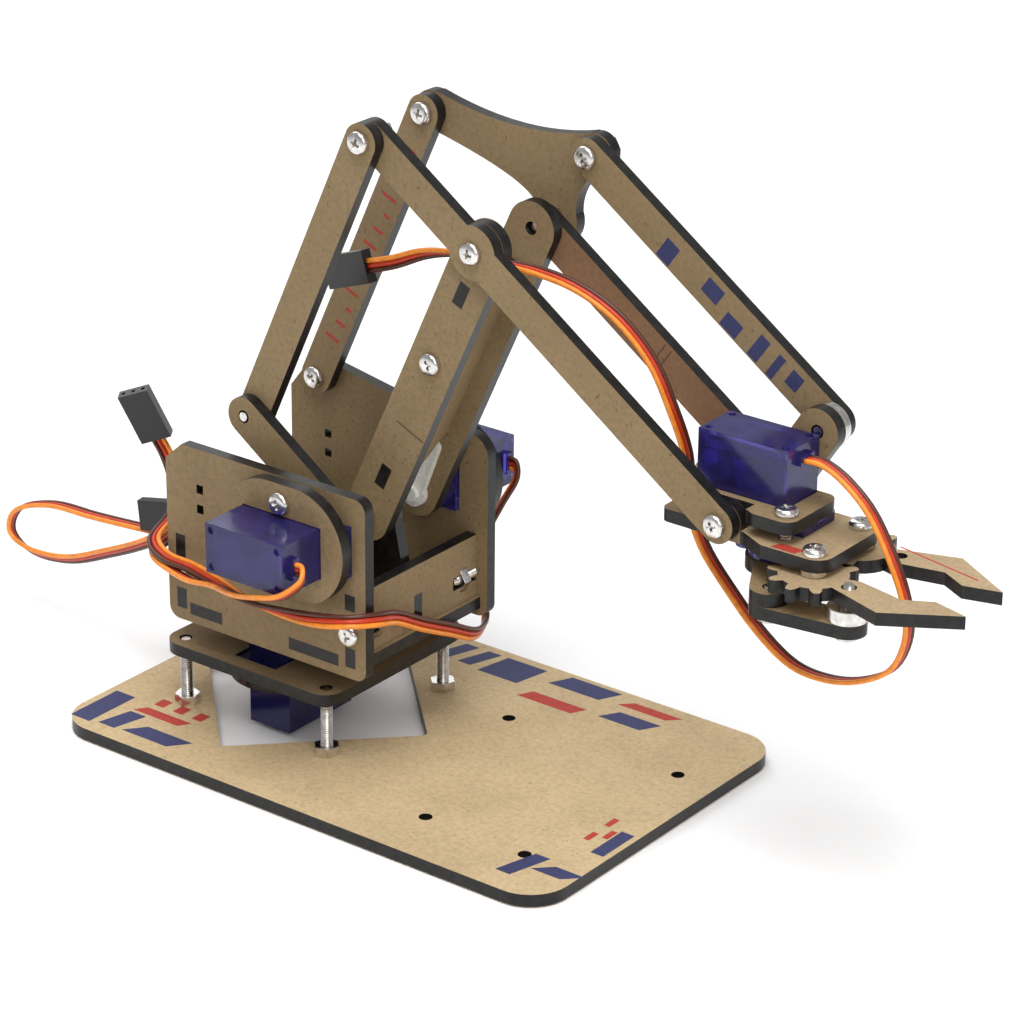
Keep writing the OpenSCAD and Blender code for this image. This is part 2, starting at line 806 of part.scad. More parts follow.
far_route = [
    [exit_x, lead_y, S[1]], [29.8, lead_y, 58], [31, 38, 55], [29, 35, 49], [27, 31, 41],
    [27.5, 29, 34], [29, 28.5, 27], [32, 25, 22.5], [36, 16, 24], [36.8, 6, 29], [37, -5, 34.5],
    [37.4, -15, 40], [38.8, -23.4, 43], [35, -29.6, 43.5], [26, -31, 42], [16, -31, 41], [7, -31, 41],
    [-3, -31, 43], [-12, -30, 44], [-21, -29, 44], [-28.5, -24.5, 45], [-31, -15, 48], [-36, -9, 53],
    [-39, -8, 58], [-40, -10, 63]
];
hand_route = [
    [hand_shaft[0] + shaft_in + gland, hand_shaft[1], hand_top + ear_low + ear_h - lid_h + 1],
    [137, hand_shaft[1], hand_top + ear_low + ear_h - lid_h + 1], [143, 5, 95], [150, 4, 90],
    [156, 3, 82], [160, 3, 73], [161, 3, 65], [158, 3, 57], [151, 3, 52], [142, 4, 49],
    [132, 5, 49], [122, 7, 53], [112, 9, 60], [104, 10, 68], [100, 10, 78], [99, 10, 88],
    [96, 8, 99], [91, 7, 109], [83, 6, 117], [73, 5, 122], [62, 4, 124], [51, 3, 124],
    [41, 2, 124], [32, 2, 122], [23, 2, 118], [15, 3, 115]
];

function unit(v) = v / norm(v);
function heading(p, i) = unit(p[min(i + 1, len(p) - 1)] - p[max(i - 1, 0)]);

// Width directions along a route, each turned as little as possible from the one before
function carried(p, w, i = 0) = i == len(p) ? [] :
    let (t = heading(p, i), n = unit(w - (w * t) * t)) concat([n], carried(p, n, i + 1));

// The same, rolled about the route, with a twist over the last rings that ends as the plug lies
function widths(p, w, end, roll) =
    let (m = len(p) - 1, c = carried(p, w), t = heading(p, m), n = unit(end - (end * t) * t),
         turn = atan2(cross(c[m], n) * t, c[m] * n), from = lookup(m - twist_rings, roll))
    [for (i = [0:m]) let (k = max(0, (i - m + twist_rings) / twist_rings),
                          a = lookup(i, roll) + k * (turn - from))
        c[i] * cos(a) + cross(heading(p, i), c[i]) * sin(a)];

// Flat lead of three wires along a route, d being its width directions
module lead(p, d) {
    m = len(p) - 1;
    color("sienna") polyhedron(
        points = [for (i = [0:m], q = section)
            p[i] + d[i] * lead_w * q[0] + cross(heading(p, i), d[i]) * lead_t * q[1]],
        faces = concat(
            [[for (k = [0:7]) k], [for (k = [7:-1:0]) 8 * m + k]],
            [for (i = [0:m - 1], k = [0:7], f = [0, 1]) let (a = 8 * i + k, b = 8 * i + (k + 1) % 8)
                f == 0 ? [a, a + 8, b + 8] : [a, b + 8, b]]));
}

// Three-way plug on the end of a lead
module plug(p, d) {
    m = len(p) - 1;
    t = heading(p, m);
    b = cross(t, d[m]);
    color("dimgray") multmatrix([for (k = [0:2]) [t[k], d[m][k], b[k], p[m][k]]]) difference() {
        translate([0, -3.85, -1.35]) cube([14, 7.7, 2.7]);
        for (y = [-2.54, 0, 2.54]) translate([8, y - 0.45, -0.45]) cube([7, 0.9, 0.9]);
    }
}

near_widths = widths(near_route, [0, 0, 1], near_end, flat);
far_widths = widths(far_route, [0, 0, 1], far_end, far_roll);
hand_widths = widths(hand_route, [0, 1, 0], hand_end, flat);

module near_servo_lead() { lead(near_route, near_widths); }
module near_lead_plug() { plug(near_route, near_widths); }
module far_servo_lead() { lead(far_route, far_widths); }
module far_lead_plug() { plug(far_route, far_widths); }
module hand_servo_lead() { lead(hand_route, hand_widths); }
module hand_lead_plug() { plug(hand_route, hand_widths); }

// ---------- the nodes ----------

base_plate();
standoff_bolts();
standoff_nuts();
servo_plate();
base_collar();
base_servo_case();
base_servo_lid();
base_servo_inside();
yaw_shaft();
yaw_horn();
turntable_plate();
near_side_plate();
far_side_plate();
front_plate();
rear_plate();
centre_plate();
frame_screws();
side_collars();
near_servo_case();
far_servo_case();
side_servo_lids();
side_servo_insides();
near_servo_lead();
near_lead_plug();
far_servo_lead();
far_lead_plug();
near_arm_plate();
far_arm_plate();
arm_brace();
arm_screws();
shoulder_shaft();
shoulder_horn();
elbow_crank();
elbow_shaft();
elbow_horn();
crank_screw();
push_link();
y_piece();
y_screws();
anchor_link();
near_beam();
far_beam();
forearm_screws();
gripper_link();
hand_plate();
clamp_plate();
near_ear();
far_ear();
hand_screws();
hand_servo_case();
hand_servo_lid();
hand_servo_inside();
hand_servo_lead();
hand_lead_plug();
near_jaw();
far_jaw();
claw_crank();
claw_drive();
claw_link();
link_fasteners();
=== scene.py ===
import json
import math
import random

import bmesh
import bpy
from mathutils import Matrix, Vector


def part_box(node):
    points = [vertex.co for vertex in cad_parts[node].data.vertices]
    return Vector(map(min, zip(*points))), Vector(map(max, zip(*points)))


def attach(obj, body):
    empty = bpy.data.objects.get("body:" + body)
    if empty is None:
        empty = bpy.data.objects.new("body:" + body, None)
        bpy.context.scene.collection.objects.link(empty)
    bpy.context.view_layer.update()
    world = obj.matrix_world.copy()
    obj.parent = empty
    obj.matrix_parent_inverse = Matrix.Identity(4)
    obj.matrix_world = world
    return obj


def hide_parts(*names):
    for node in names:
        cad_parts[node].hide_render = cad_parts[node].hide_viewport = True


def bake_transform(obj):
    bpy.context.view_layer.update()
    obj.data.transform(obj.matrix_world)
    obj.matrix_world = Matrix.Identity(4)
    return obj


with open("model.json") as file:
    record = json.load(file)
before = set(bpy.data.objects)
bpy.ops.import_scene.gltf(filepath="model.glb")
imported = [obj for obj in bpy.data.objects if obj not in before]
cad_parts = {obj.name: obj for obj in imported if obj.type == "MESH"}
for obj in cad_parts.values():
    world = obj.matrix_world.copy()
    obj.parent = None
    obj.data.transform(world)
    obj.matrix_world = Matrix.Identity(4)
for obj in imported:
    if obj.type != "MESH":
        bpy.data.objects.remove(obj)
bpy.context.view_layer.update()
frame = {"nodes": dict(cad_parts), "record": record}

MM = 0.001
SHANK_R = 1.5 * MM
HEAD_R = 2.7 * MM
HEAD_H = 1.8 * MM
SUNK_H = 1.6 * MM
PITCH = 0.5
PRINT_T = 0.02 * MM
ROW = frame["record"]["behaviour"]
random.seed(7)


# ---------- helpers ----------

def pivot(joint):
    """A joint's axis as (x, z) in the links' upright plane."""
    found = next(j for j in ROW["joints"] if j["name"] == joint)
    return Vector((found["pos_m"][0], found["pos_m"][2]))


def link_object(name, mesh, body):
    obj = bpy.data.objects.new(name, mesh)
    bpy.context.scene.collection.objects.link(obj)
    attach(obj, body)
    return obj


def body_of(node):
    return next(name for name, nodes in ROW["bodies"].items() if node in nodes)


def mesh_from(name, build):
    """A mesh made by a function that fills a bmesh."""
    bm = bmesh.new()
    build(bm)
    bmesh.ops.recalc_face_normals(bm, faces=bm.faces)
    mesh = bpy.data.meshes.new(name)
    bm.to_mesh(mesh)
    bm.free()
    return mesh


def smooth(mesh, angle=35):
    for poly in mesh.polygons:
        poly.use_smooth = True
    mesh.set_sharp_from_angle(angle=math.radians(angle))


def bevel(obj, width, segments=2, angle=40):
    mod = obj.modifiers.new("edges", "BEVEL")
    mod.width = width
    mod.segments = segments
    mod.limit_method = "ANGLE"
    mod.angle_limit = math.radians(angle)
    mod.harden_normals = False


# ---------- materials ----------

def node(tree, kind, **values):
    made = tree.nodes.new(kind)
    for key, value in values.items():
        if hasattr(made, key):
            setattr(made, key, value)
        else:
            made.inputs[key.replace("_", " ")].default_value = value
    return made


def base_material(name, colour, roughness, metallic=0.0):
    mat = bpy.data.materials.new(name)
    mat.use_nodes = True
    shader = mat.node_tree.nodes["Principled BSDF"]
    shader.inputs["Base Color"].default_value = (*colour, 1)
    shader.inputs["Roughness"].default_value = roughness
    shader.inputs["Metallic"].default_value = metallic
    mat.diffuse_color = (*colour, 1)
    return mat, mat.node_tree, shader


def noise(tree, scale, detail=4, stretch=None):
    place = tree.nodes.new("ShaderNodeTexCoord")
    made = node(tree, "ShaderNodeTexNoise", Scale=scale, Detail=detail)
    source = place.outputs["Object"]
    if stretch:
        mapping = tree.nodes.new("ShaderNodeMapping")
        mapping.inputs["Scale"].default_value = stretch
        tree.links.new(source, mapping.inputs["Vector"])
        source = mapping.outputs["Vector"]
    tree.links.new(source, made.inputs["Vector"])
    return made.outputs["Fac"]


def ramp(tree, fac, stops):
    made = tree.nodes.new("ShaderNodeValToRGB")
    while len(made.color_ramp.elements) < len(stops):
        made.color_ramp.elements.new(0.5)
    for element, (place, colour) in zip(made.color_ramp.elements, stops):
        element.position = place
        element.color = (*colour, 1)
    tree.links.new(fac, made.inputs["Fac"])
    return made.outputs["Color"]


def mixed(tree, a, b, fac, blend="MULTIPLY"):
    made = tree.nodes.new("ShaderNodeMix")
    made.data_type = "RGBA"
    made.blend_type = blend
    made.inputs["Factor"].default_value = fac
    tree.links.new(a, made.inputs["A"])
    tree.links.new(b, made.inputs["B"])
    return made.outputs["Result"]


def bump(tree, shader, height, strength, distance):
    made = node(tree, "ShaderNodeBump", Strength=strength, Distance=distance)
    tree.links.new(height, made.inputs["Height"])
    tree.links.new(made.outputs["Normal"], shader.inputs["Normal"])


def kraft_paper(name, colour):
    """Brown paper: mottled pulp, fine fibres and a few dark flecks."""
    mat, tree, shader = base_material(name, colour, 0.82)
    dark = tuple(c * 0.86 for c in colour)
    light = tuple(min(1, c * 1.1) for c in colour)
    pulp = ramp(tree, noise(tree, 900, 8), [(0.3, dark), (0.7, light)])
    clouds = ramp(tree, noise(tree, 55, 3), [(0.3, (0.86, 0.85, 0.83)), (0.7, (1, 1, 1))])
    flecks = ramp(tree, noise(tree, 1500, 2, (1, 1, 0.5)),
                  [(0.27, (0.45, 0.4, 0.34)), (0.33, (1, 1, 1))])
    tone = mixed(tree, mixed(tree, pulp, clouds, 1.0), flecks, 0.8)
    tree.links.new(tone, shader.inputs["Base Color"])
    bump(tree, shader, noise(tree, 2200, 4), 0.25, 0.00006)
    return mat


def black_acrylic(name, roughness):
    """Cut edge of the sheet, faintly striped by the cut."""
    mat, tree, shader = base_material(name, (0.012, 0.012, 0.013), roughness)
    tone = ramp(tree, noise(tree, 500, 3),
                [(0.3, (0.004, 0.004, 0.004)), (0.75, (0.018, 0.016, 0.015))])
    shader.inputs["Specular IOR Level"].default_value = 0.35
    tree.links.new(tone, shader.inputs["Base Color"])
    bump(tree, shader, noise(tree, 1600, 2), 0.15, 0.00005)
    return mat


def bright_steel(name):
    mat, tree, shader = base_material(name, (0.72, 0.7, 0.67), 0.22, 1.0)
    tone = ramp(tree, noise(tree, 700, 3),
                [(0.3, (0.55, 0.53, 0.5)), (0.7, (0.82, 0.8, 0.78))])
    tree.links.new(tone, shader.inputs["Base Color"])
    bump(tree, shader, noise(tree, 2500, 2), 0.1, 0.00003)
    return mat


def clear_blue(name, colour, transmission):
    """Translucent moulded plastic."""
    mat, tree, shader = base_material(name, colour, 0.16)
    shader.inputs["Transmission Weight"].default_value = transmission
    shader.inputs["IOR"].default_value = 1.46
    tone = ramp(tree, noise(tree, 240, 3),
                [(0.3, tuple(c * 0.75 for c in colour)), (0.7, tuple(c * 1.2 for c in colour))])
    tree.links.new(tone, shader.inputs["Base Color"])
    bump(tree, shader, noise(tree, 900, 2), 0.08, 0.00005)
    return mat


def plain_plastic(name, colour, roughness, grain=1200):
    mat, tree, shader = base_material(name, colour, roughness)
    tone = ramp(tree, noise(tree, grain, 4),
                [(0.3, tuple(c * 0.82 for c in colour)), (0.7, tuple(min(1, c * 1.1) for c in colour))])
    tree.links.new(tone, shader.inputs["Base Color"])
    bump(tree, shader, noise(tree, grain * 2, 3), 0.12, 0.00004)
    return mat


KRAFT = kraft_paper("kraft_paper", (0.262, 0.183, 0.092))
# Painted light: the base plate is the same kraft as the other parts, given the paler colour it shows
# when lit from above.
KRAFT_LIT_BASE = kraft_paper("kraft_paper_lit_base", (0.57, 0.43, 0.245))
# Painted light: the hand plate and jaws get a lighter copy of the same kraft, for the light falling on
# their tops.
KRAFT_LIT_HAND = kraft_paper("kraft_paper_lit_hand", (0.40, 0.29, 0.165))
# Painted shade: the far beam gets a darker, redder copy of the same kraft, for the shade it lies in.
KRAFT_SHADED_BEAM = kraft_paper("kraft_paper_shaded_beam", (0.235, 0.125, 0.062))
EDGE = black_acrylic("acrylic_edge", 0.38)
BARE = black_acrylic("acrylic_bare", 0.12)
STEEL = bright_steel("bright_steel")
BLUE = clear_blue("servo_blue", (0.11, 0.09, 0.46), 0.84)
# Painted shade: the base servo gets a darker, less clear copy of the servo blue, for the shade it sits
# in.
BLUE_SHADED = clear_blue("servo_blue_shaded", (0.02, 0.018, 0.13), 0.45)
WHITE = plain_plastic("white_nylon", (0.78, 0.77, 0.72), 0.4)
BLACK = plain_plastic("plug_black", (0.009, 0.008, 0.008), 0.3)
BROWN_WIRE = plain_plastic("wire_brown", (0.085, 0.022, 0.010), 0.36, 600)
RED_WIRE = plain_plastic("wire_red", (0.52, 0.035, 0.008), 0.36, 600)
ORANGE_WIRE = plain_plastic("wire_orange", (0.86, 0.27, 0.025), 0.36, 600)
BOARD = plain_plastic("board_green", (0.012, 0.10, 0.035), 0.45)
MOTOR = bright_steel("motor_can")
INK_BLUE = plain_plastic("ink_blue", (0.030, 0.035, 0.115), 0.7)
INK_RED = plain_plastic("ink_red", (0.42, 0.035, 0.022), 0.7)
# Colour for thin dark lines drawn on the near arm plate and the far beam.
DARK_LINE = plain_plastic("dark_line", (0.05, 0.035, 0.02), 0.8)


# ---------- camera and leads ----------

def frame_matrix(right, up, back):
    return Matrix((right, up, back)).transposed()


def make_camera():
    data = bpy.data.cameras.new("camera")
    data.sensor_width = 36
    data.lens = 126.07
    data.shift_x = -0.017
    data.shift_y = -0.0314
    data.clip_start = 0.01
    data.clip_end = 50
    camera = bpy.data.objects.new("camera", data)
    bpy.context.scene.collection.objects.link(camera)
    look = Vector((-0.5514, 0.7371, -0.3906)).normalized()
    up = Vector((-0.2439, 0.3053, 0.9205))
    right = look.cross(up).normalized()
    up = right.cross(look)
    camera.matrix_world = Matrix.Translation((0.5048, -0.5900, 0.3887)) @ frame_matrix(
        right, up, -look).to_4x4()
    bpy.context.scene.camera = camera


WIRE_R = 0.6 * MM
TWIST_RINGS = 5
EXIT_X = 28.2
HAND_EXIT = [132.741, 5.6, 97.284]
NEAR_ROUTE = [
    (EXIT_X, -39.2, 58), (29.8, -39.2, 58), (31, -41, 56), (28, -44, 53), (20, -43, 50),
    (11, -40, 47), (1, -36, 45), (-8, -34, 43), (-16, -31, 42), (-24, -28, 42), (-29, -23, 42),
    (-31, -17, 42), (-34, -12, 41), (-40, -9, 37), (-50, -7, 31), (-62, -5, 25), (-78, -3, 18),
    (-92, -2, 16), (-100, -1, 19), (-97, -1, 26), (-84, -2, 31), (-68, -4, 33), (-55, -4, 34),
    (-44, -2, 34), (-34, 1, 34), (-26, 3, 36), (-24, 2, 40), (-28, -1, 42), (-36, -3, 41)]
FAR_ROUTE = [
    (EXIT_X, 39.2, 58), (29.8, 39.2, 58), (31, 38, 55), (29, 35, 49), (27, 31, 41),
    (27.5, 29, 34), (29, 28.5, 27), (32, 25, 22.5), (36, 16, 24), (36.8, 6, 29), (37, -5, 34.5),
    (37.4, -15, 40), (38.8, -23.4, 43), (35, -29.6, 43.5), (26, -31, 42), (16, -31, 41), (7, -31, 41),
    (-3, -31, 43), (-12, -30, 44), (-21, -29, 44), (-28.5, -24.5, 45), (-31, -15, 48), (-36, -9, 53),
    (-39, -8, 58), (-40, -10, 63)]
HAND_ROUTE = [
    HAND_EXIT, (137, 5.6, HAND_EXIT[2]), (143, 5, 95), (150, 4, 90),
    (156, 3, 82), (160, 3, 73), (161, 3, 65), (158, 3, 57), (151, 3, 52), (142, 4, 49),
    (132, 5, 49), (122, 7, 53), (112, 9, 60), (104, 10, 68), (100, 10, 78), (99, 10, 88),
    (96, 8, 99), (91, 7, 109), (83, 6, 117), (73, 5, 122), (62, 4, 124), (51, 3, 124),
    (41, 2, 124), (32, 2, 122), (23, 2, 118), (15, 3, 115)]


def lookup(i, table):
    if i <= table[0][0]:
        return table[0][1]
    for (a, low), (b, high) in zip(table, table[1:]):
        if i <= b:
            return low + (high - low) * (i - a) / (b - a)
    return table[-1][1]


def heading(points, i):
    return (points[min(i + 1, len(points) - 1)] - points[max(i - 1, 0)]).normalized()


def ribbon_widths(points, start, end, rolls):
    """Width direction at each route point: carried along, rolled, and twisted at the plug."""
    carried = []
    w = Vector(start)
    for i in range(len(points)):
        t = heading(points, i)
        w = (w - w.dot(t) * t).normalized()
        carried.append(w)
    last = len(points) - 1
    t = heading(points, last)
    goal = Vector(end) - Vector(end).dot(t) * t
    turn = math.degrees(math.atan2(carried[last].cross(goal).dot(t), carried[last].dot(goal)))
    base = lookup(last - TWIST_RINGS, rolls)
    widths = []
    for i, c in enumerate(carried):
        k = max(0, (i - last + TWIST_RINGS) / TWIST_RINGS)
        a = math.radians(lookup(i, rolls) + k * (turn - base))
        widths.append(c * math.cos(a) + heading(points, i).cross(c) * math.sin(a))
    return widths


def curved(values, steps):
    """Catmull-Rom curve through a list of vectors."""
    ends = [2 * values[0] - values[1]] + values + [2 * values[-1] - values[-2]]
    made = []
    for a, b, c, d in zip(ends, ends[1:], ends[2:], ends[3:]):
        for k in range(steps):
            t = k / steps
            made.append(0.5 * (2 * b + (c - a) * t + (2 * a - 5 * b + 4 * c - d) * t ** 2
                               + (3 * b - a - 3 * c + d) * t ** 3))
    return made + [values[-1]]


def make_lead(name, nodes, body, route, start, end, rolls, orange_side):
    """Three round wires side by side from the servo to the plug."""
    points = [Vector(p) * MM for p in route]
    widths = curved(ribbon_widths(points, start, end, rolls), 6)
    path = curved(points, 6)
    sides = 12
    bm = bmesh.new()
    for wire, index in ((-1, 2), (0, 1), (1, 0)):
        rings = []
        for i, p in enumerate(path):
            t = heading(path, i)
            w = (widths[i] - widths[i].dot(t) * t).normalized()
            b = t.cross(w)
            centre = p + w * wire * 2 * WIRE_R * orange_side * -1
            ring = []
            for k in range(sides):
                a = 2 * math.pi * k / sides
                ring.append(bm.verts.new(centre + WIRE_R * (w * math.cos(a) + b * math.sin(a))))
            rings.append(ring)
        for low, high in zip(rings, rings[1:]):
            for k in range(sides):
                face = bm.faces.new((low[k], low[(k + 1) % sides], high[(k + 1) % sides], high[k]))
                face.material_index = index
                face.smooth = True
        for ring in (rings[0][::-1], rings[-1]):
            bm.faces.new(ring).material_index = index
    mesh = bpy.data.meshes.new(name)
    bm.to_mesh(mesh)
    bm.free()
    for mat in (BROWN_WIRE, RED_WIRE, ORANGE_WIRE):
        mesh.materials.append(mat)
    obj = bpy.data.objects.new(name, mesh)
    bpy.context.scene.collection.objects.link(obj)
    if body == "forearm":
        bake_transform(obj)
    else:
        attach(obj, body)
    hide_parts(nodes[0])


def make_leads():
    flat = [(0, 0), (1, 0)]
    make_lead("near_lead_wires", ("near_servo_lead", "near_lead_plug"), "turntable", NEAR_ROUTE,
              (0, 0, 1), (0.2, 0.1, 1), flat, 1)
    make_lead("far_lead_wires", ("far_servo_lead", "far_lead_plug"), "turntable", FAR_ROUTE,
              (0, 0, 1), (-0.85, -0.45, -0.25), [(7, 0), (13, 56), (17, -105)], -1)
    make_lead("hand_lead_wires", ("hand_servo_lead", "hand_lead_plug"), "forearm", HAND_ROUTE,
              (0, 1, 0), (0, 0, -1), flat, -1)


# ---------- plates ----------

def thickness_axis(mesh):
    """The direction that the largest area of a plate faces."""
    areas = {}
    for poly in mesh.polygons:
        n = poly.normal
        lead = n if (n.x, n.y, n.z) > (-n.x, -n.y, -n.z) else -n
        key = tuple(round(c, 2) for c in lead)
        areas[key] = areas.get(key, 0) + poly.area
    return Vector(max(areas, key=areas.get)).normalized()


def dress_plate(name, paper):
    obj = frame["nodes"][name]
    mesh = obj.data
    axis = thickness_axis(mesh)
    mesh.materials.clear()
    mesh.materials.append(paper)
    mesh.materials.append(EDGE)
    for poly in mesh.polygons:
        poly.material_index = 0 if abs(poly.normal.dot(axis)) > 0.95 else 1
    bevel(obj, 0.12 * MM, 2)


def dress_plates():
    for name in ("near_side_plate", "far_side_plate", "front_plate", "rear_plate", "near_arm_plate",
                 "far_arm_plate", "arm_brace", "elbow_crank", "push_link", "y_piece", "anchor_link",
                 "near_beam", "gripper_link", "clamp_plate", "near_ear", "far_ear", "side_collars",
                 "turntable_plate", "servo_plate", "claw_crank", "claw_link"):
        dress_plate(name, KRAFT)
    # The base plate's paper carries painted light: a paler, lit copy of the kraft.
    dress_plate("base_plate", KRAFT_LIT_BASE)
    # The hand plate and jaws carry painted light: a lighter, lit copy of the kraft.
    for name in ("hand_plate", "near_jaw", "far_jaw"):
        dress_plate(name, KRAFT_LIT_HAND)
    # The far beam carries painted shade: a darker, redder copy of the kraft.
    dress_plate("far_beam", KRAFT_SHADED_BEAM)
    for name in ("centre_plate", "base_collar"):
        paint(name, BARE)
        bevel(frame["nodes"][name], 0.15 * MM)


def paint(name, mat):
    mesh = frame["nodes"][name].data
    mesh.materials.clear()
    mesh.materials.append(mat)
    for poly in mesh.polygons:
        poly.material_index = 0


# ---------- printed marks ----------

def add_prism(bm, corners, lift):
    """A thin slab from a flat outline, raised by the vector lift."""
    low = [bm.verts.new(c) for c in corners]
    high = [bm.verts.new(c + lift) for c in corners]
    bm.faces.new(low[::-1])
    bm.faces.new(high)
    for k in range(len(low)):
        n = (k + 1) % len(low)
        bm.faces.new((low[k], low[n], high[n], high[k]))


def print_marks(name, body, ink, outlines, lift):
    def build(bm):
        for outline in outlines:
            add_prism(bm, [Vector(c) for c in outline], lift)
    obj = link_object(name, mesh_from(name, build), body)
    obj.data.materials.append(ink)


def flat_shape(points, z):
    return [Vector((x * MM, y * MM, z)) for x, y in points]


def slanted(x, y, length, width, slope=0.0):
    """A slanted bar on a level plate, long along Y."""
    return [(x, y), (x + width, y), (x + width + slope, y + length), (x + slope, y + length)]


def base_marks():
    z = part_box("base_plate")[1][2]
    up = Vector((0, 0, PRINT_T))
    blue = [slanted(-39, -44, 16, 6, 0), slanted(-31, -43, 9, 5, 2), slanted(-24, -42.5, 5, 14, 4),
            slanted(8, 36, 9, 4, 3), slanted(15, 36, 9, 4, 3), slanted(22, 35, 10, 12, 2),
            slanted(40, 40, 6, 15, 3), slanted(60, 33, 5, 12, 3),
            slanted(86, -41, 11, 4, 3), slanted(92, -36, 4, 8, 4), slanted(98, -22, 12, 3.5, 0)]
    red = [slanted(-29, -33, 3, 14, 2), slanted(-27, -28, 3.5, 3, 0), slanted(-21, -28, 3.5, 3, 0),
           slanted(-15, -28, 3.5, 3, 0), slanted(38, 30, 4, 16, 2), slanted(60, 41, 3, 14, 3),
           slanted(93, -18, 4, 1.6, 0), slanted(96, -15, 4, 1.6, 0), slanted(93, -10, 4, 1.6, 0)]
    print_marks("base_print_blue", "base", INK_BLUE, [flat_shape(s, z) for s in blue], up)
    print_marks("base_print_red", "base", INK_RED, [flat_shape(s, z) for s in red], up)


def along(p, q, s, t, y):
    """A point s mm from p towards q, t mm to the side, on the upright plane at y."""
    d = (q - p).normalized()
    at = p + d * s * MM + Vector((-d.y, d.x)) * t * MM
    return Vector((at.x, y, at.y))


def link_bar(p, q, s0, s1, t0, t1, y):
    return [along(p, q, s, t, y) for s, t in ((s0, t0), (s1, t0), (s1, t1), (s0, t1))]


def link_marks():
    near = Vector((0, -PRINT_T, 0))
    low = pivot("anchor_link_swing")
    high = pivot("y_piece_level") + low - pivot("shoulder")
    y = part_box("anchor_link")[0][1]
    bars = []
    for k in range(13):
        s = 12 + 4.7 * k
        bars.append(link_bar(low, high, s, s + 0.8, -2.4, 1.8 - 1.2 * (k % 3), y))
    print_marks("anchor_print", "anchor_link", INK_RED, bars, near)
    p = pivot("gripper_link_swing")
    q = pivot("hand_level") + p - pivot("y_piece_level")
    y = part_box("gripper_link")[0][1]
    blocks = [(26, 30, -3.9, 1.5), (39, 44, -1.4, 2.6), (47, 52, -3.9, 0), (56, 59, -3.9, 2.5),
              (62, 64, -3.9, 2.5), (66.5, 70, -1.6, 2.5)]
    print_marks("guide_print", "gripper_link", INK_BLUE,
                [link_bar(p, q, *b, y) for b in blocks], near)


def fine_line_marks():
    """Fine dark lines near the arm's foot and on the far beam, and a printed line on the far jaw."""
    shoulder, elbow, wrist = pivot("shoulder"), pivot("y_piece_level"), pivot("hand_level")
    near = Vector((0, -PRINT_T, 0))
    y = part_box("far_beam")[0][1]
    print_marks("beam_score", "forearm", DARK_LINE,
                [link_bar(elbow, wrist, 40 + k, 40.25 + k, -3.8, 3.6, y) for k in (0, 2)], near)
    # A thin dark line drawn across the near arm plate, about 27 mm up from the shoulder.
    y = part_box("near_arm_plate")[0][1]
    print_marks("arm_dark_line", "main_arm", DARK_LINE,
                [link_bar(shoulder, elbow, 27, 27.3, -6, 2.5, y)], near)
    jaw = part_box("far_jaw")
    z = jaw[1][2]
    tip = jaw[1][0] / MM
    print_marks("jaw_print", "far_jaw", INK_RED,
                [flat_shape([(tip - 29, 17.1), (tip - 7, 12.4), (tip - 7, 12.9), (tip - 29, 17.6)], z)],
                Vector((0, 0, PRINT_T)))
    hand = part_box("hand_plate")
    x, y0, z = hand[0][0] / MM, hand[0][1] / MM, hand[1][2]
    print_marks("hand_print", "hand", INK_RED,
                [flat_shape([(x + 30, y0 + 0.6), (x + 36, y0 + 0.6), (x + 37, y0 + 3.4),
                             (x + 31, y0 + 3.4)], z)],
                Vector((0, 0, PRINT_T)))


# ---------- screws, nuts and bolts ----------

def islands(name):
    """The separate solids of a CAD node, each as a list of its corner points."""
    bm = bmesh.new()
    bm.from_mesh(frame["nodes"][name].data)
    bmesh.ops.remove_doubles(bm, verts=bm.verts, dist=1e-6)
    bm.verts.ensure_lookup_table()
    seen = set()
    found = []
    for start in bm.verts:
        if start in seen:
            continue
        group, queue = [], [start]
        seen.add(start)
        while queue:
            v = queue.pop()
            group.append(v.co.copy())
            for edge in v.link_edges:
                other = edge.other_vert(v)
                if other not in seen:
                    seen.add(other)
                    queue.append(other)
        found.append(group)
    bm.free()
    return found


def screw_axis(points):
    """What a screw's corner points say, or None for a nut or a ring.

    Gives the middle of the head's underside, the shank's direction and length, and the head's
    radius and height.
    """
    low = Vector([min(p[k] for p in points) for k in range(3)])
    high = Vector([max(p[k] for p in points) for k in range(3)])
    size = high - low
    axis = max(range(3), key=lambda k: size[k])
    others = [size[k] for k in range(3) if k != axis]
    if size[axis] < 1.1 * max(others) or abs(others[0] - others[1]) > 0.2 * MM:
        return None
    centre = (low + high) / 2
    wide = [p[axis] for p in points
            if math.dist([p[k] for k in range(3) if k != axis],
                         [centre[k] for k in range(3) if k != axis]) > 0.8 * max(others) / 2]
    sign = 1 if sum(wide) / len(wide) < centre[axis] else -1
    direction = Vector([sign if k == axis else 0 for k in range(3)])
    top = low[axis] if sign > 0 else high[axis]
    head = max(abs(w - top) for w in wide)
    seat = centre.copy()
    seat[axis] = top + sign * head
    return seat, direction, size[axis] - head, max(others) / 2, head


def cross_recess():
    """Cutter for a cross recess: two tapered blades, its mouth at Z = 0 and opening upward."""
    def build(bm):
        for turn in (0, math.pi / 2):
            spin = Matrix.Rotation(turn, 4, "Z")
            corners = []
            for z, half, thick in ((-1.1, 0.5, 0.2), (0.7, 1.75, 0.42)):
                for x, y in ((-half, -thick), (half, -thick), (half, thick), (-half, thick)):
                    corners.append(bm.verts.new(spin @ Vector((x, y, z))))
            low, high = corners[:4], corners[4:]
            bm.faces.new(low[::-1])
            bm.faces.new(high)
            for k in range(4):
                n = (k + 1) % 4
                bm.faces.new((low[k], low[n], high[n], high[k]))
    return mesh_from("recess", build)


